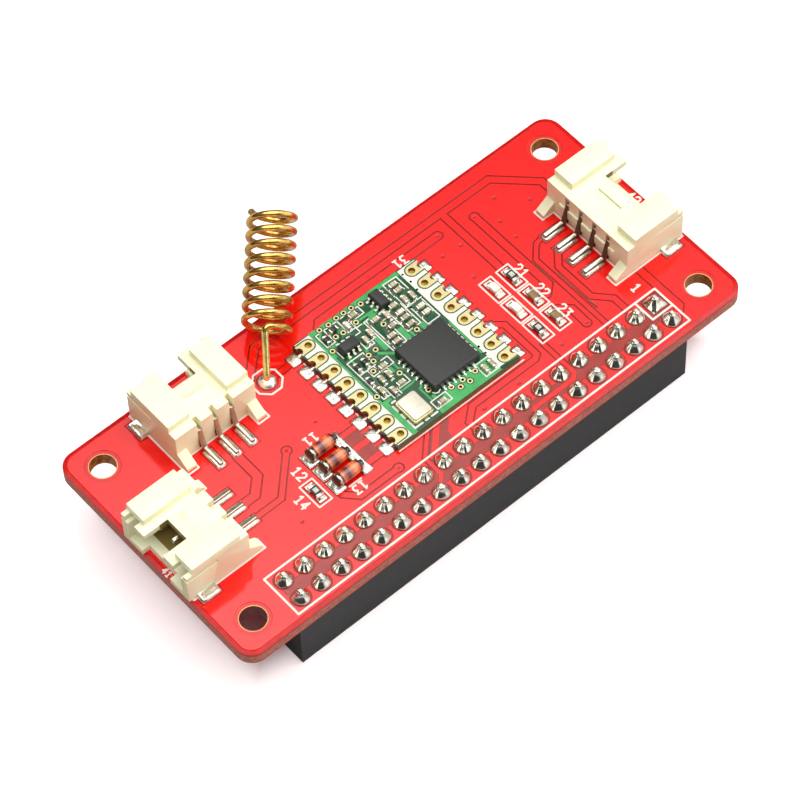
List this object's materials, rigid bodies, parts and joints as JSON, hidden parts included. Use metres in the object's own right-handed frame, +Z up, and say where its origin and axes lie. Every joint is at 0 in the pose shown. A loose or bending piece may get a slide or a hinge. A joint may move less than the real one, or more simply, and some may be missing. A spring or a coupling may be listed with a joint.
{
  "type": "radio add-on circuit board",
  "caption": "Small add-on circuit board with a castellated radio board, a coil antenna, side-entry wire connectors and a two-row socket header underneath.",
  "frame": {"origin": "centre of the four mounting holes, on the main board's underside", "axes": "+X along the board's long side towards the four-way connector, +Y across the board away from the socket header, +Z up out of the side that carries the parts"},
  "size_m": [0.0647, 0.0371, 0.0184],
  "materials": {
    "board_mask": "glossy red solder mask",
    "module_mask": "glossy green solder mask",
    "black_plastic": "matt black",
    "chip_black": "moulded charcoal",
    "ivory_plastic": "satin ivory",
    "tin": "bright tin",
    "solder": "bright solder",
    "gold_plate": "gold flash",
    "antenna_brass": "polished",
    "crystal_lid_metal": "plated lid",
    "orange_glass": "clear orange",
    "die_dark": "dark die",
    "ceramic_tan": "matt",
    "ceramic_cream": "matt",
    "resistor_black": "coated",
    "light_base_white": "matt",
    "lens_clear": "clear"
  },
  "bodies": {
    "root": {"antenna_solder": "solder", "antenna_wire": "antenna_brass", "board_capacitor_bodies": "ceramic_tan", "board_capacitor_ends": "tin", "board_resistor_bodies": "resistor_black", "board_resistor_ends": "tin", "crystal_base": "gold_plate", "crystal_lid": "crystal_lid_metal", "diode_dies": "die_dark", "diode_glass": "orange_glass", "diode_studs": "tin", "header_contacts": "tin", "header_housing": "black_plastic", "header_solder": "solder", "left_connector_clips": "tin", "left_connector_lands": "tin", "left_connector_shell": "ivory_plastic", "left_connector_terminals": "tin", "light_bases": "light_base_white", "light_ends": "tin", "light_lenses": "lens_clear", "main_board": "board_mask", "radio_board": "module_mask", "radio_board_lands": "tin", "radio_board_solder": "solder", "radio_capacitor_bodies": "ceramic_cream", "radio_capacitor_ends": "tin", "radio_chip": "chip_black", "radio_chip_leads": "tin", "radio_inductor_bodies": "ceramic_cream", "radio_inductor_ends": "tin", "radio_resistor_bodies": "resistor_black", "radio_resistor_ends": "tin", "right_connector_clips": "tin", "right_connector_lands": "tin", "right_connector_shell": "ivory_plastic", "right_connector_terminals": "tin", "small_part_lands": "tin", "small_part_solder": "solder", "switch_chip_leads": "tin", "switch_chips": "chip_black", "top_connector_clips": "tin", "top_connector_lands": "tin", "top_connector_shell": "ivory_plastic", "top_connector_terminals": "tin"}
  },
  "joints": []
}
